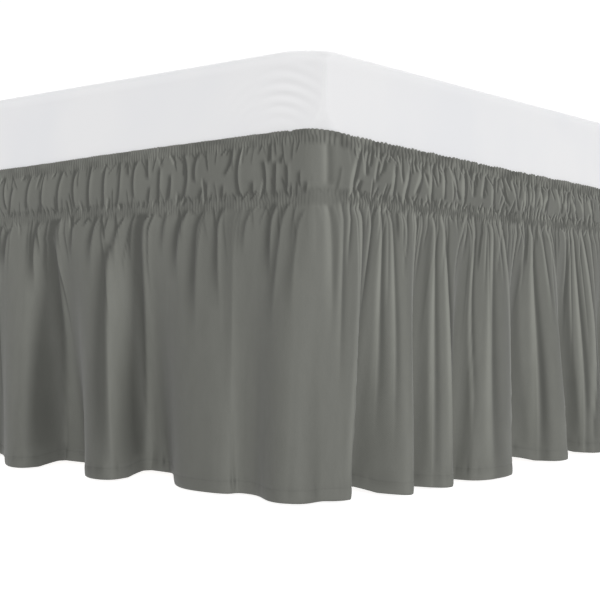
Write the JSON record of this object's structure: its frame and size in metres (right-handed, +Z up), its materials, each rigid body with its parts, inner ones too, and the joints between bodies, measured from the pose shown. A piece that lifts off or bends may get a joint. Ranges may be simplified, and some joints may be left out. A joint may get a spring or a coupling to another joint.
{
  "type": "bed skirt on a mattress and bed base",
  "caption": "Wrap-round gathered bed skirt with a shirred, puffed heading gripping a single mattress, and a long uneven drop that hides the base and legs.",
  "frame": {"origin": "on the floor under the middle of the bed", "axes": "+Y from the foot to the head along the bed, +X to its right side seen from the foot, +Z up"},
  "size_m": [1.0928, 2.0026, 0.505],
  "materials": {
    "skirt_cloth": "matt brushed microfibre, warm mid grey",
    "mattress_cover": "plain smooth white cover",
    "base_wood": "plain pale wood, hidden by the skirt"
  },
  "bodies": {
    "root": {"heading": "skirt_cloth", "drop": "skirt_cloth", "mattress": "mattress_cover", "base_deck": "base_wood", "leg_1": "base_wood", "leg_2": "base_wood", "leg_3": "base_wood", "leg_4": "base_wood", "leg_5": "base_wood", "leg_6": "base_wood"}
  },
  "joints": []
}
